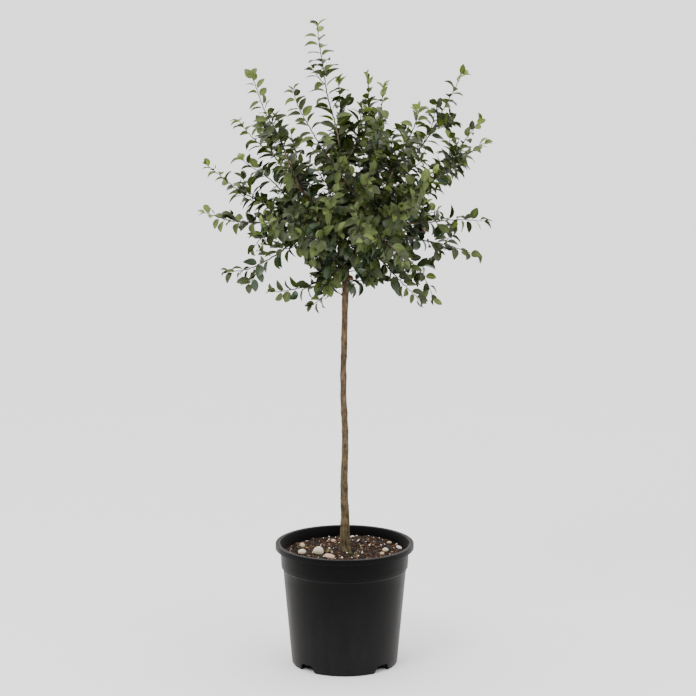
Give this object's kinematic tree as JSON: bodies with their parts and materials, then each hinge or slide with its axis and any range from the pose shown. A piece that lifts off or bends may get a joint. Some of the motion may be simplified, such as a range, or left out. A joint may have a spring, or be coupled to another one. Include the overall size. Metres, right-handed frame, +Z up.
{
  "type": "standard lollipop shrub in a pot",
  "caption": "Young standard shrub: a bare upright stem, a loose open ball of long leafy shoots, and the round tapered nursery pot it grows in.",
  "frame": {"origin": "middle of the pot's flat underside, where it meets the ground", "axes": "+Z up along the stem, +X to the plant's right and +Y to its back as seen from the front"},
  "size_m": [0.7224, 0.641, 1.644],
  "materials": {
    "pot": "satin moulded black plastic",
    "soil": "rough bark-based potting mix with perlite and pebbles",
    "bark": "smooth young bark with knots",
    "foliage": "satin green leaves on thin shoots"
  },
  "bodies": {
    "root": {"bough_droop_left": "bark", "bough_droop_right": "bark", "bough_front_left": "bark", "bough_front_right": "bark", "bough_inner_front": "bark", "bough_level_left": "bark", "bough_level_right": "bark", "bough_low_left": "bark", "bough_rear_left": "bark", "bough_rear_right": "bark", "bough_right": "bark", "bough_rise_left": "bark", "bough_rise_mid": "bark", "bough_rise_right": "bark", "mass_droop_left_1": "foliage", "mass_droop_left_2": "foliage", "mass_droop_left_3": "foliage", "mass_droop_right_1": "foliage", "mass_droop_right_2": "foliage", "mass_droop_right_3": "foliage", "mass_front_left_1": "foliage", "mass_front_left_2": "foliage", "mass_front_left_3": "foliage", "mass_front_right_1": "foliage", "mass_front_right_2": "foliage", "mass_front_right_3": "foliage", "mass_inner_front_1": "foliage", "mass_inner_front_2": "foliage", "mass_leader_1": "foliage", "mass_leader_2": "foliage", "mass_leader_3": "foliage", "mass_level_left_1": "foliage", "mass_level_left_2": "foliage", "mass_level_left_3": "foliage", "mass_level_left_4": "foliage", "mass_level_right_1": "foliage", "mass_level_right_2": "foliage", "mass_level_right_3": "foliage", "mass_low_left_1": "foliage", "mass_low_left_2": "foliage", "mass_rear_left_1": "foliage", "mass_rear_left_2": "foliage", "mass_rear_left_3": "foliage", "mass_rear_right_1": "foliage", "mass_rear_right_2": "foliage", "mass_rear_right_3": "foliage", "mass_right_1": "foliage", "mass_right_2": "foliage", "mass_right_3": "foliage", "mass_rise_left_1": "foliage", "mass_rise_left_2": "foliage", "mass_rise_left_3": "foliage", "mass_rise_mid_1": "foliage", "mass_rise_mid_2": "foliage", "mass_rise_mid_3": "foliage", "mass_rise_right_1": "foliage", "mass_rise_right_2": "foliage", "pot": "pot", "soil": "soil", "trunk": "bark"}
  },
  "joints": []
}
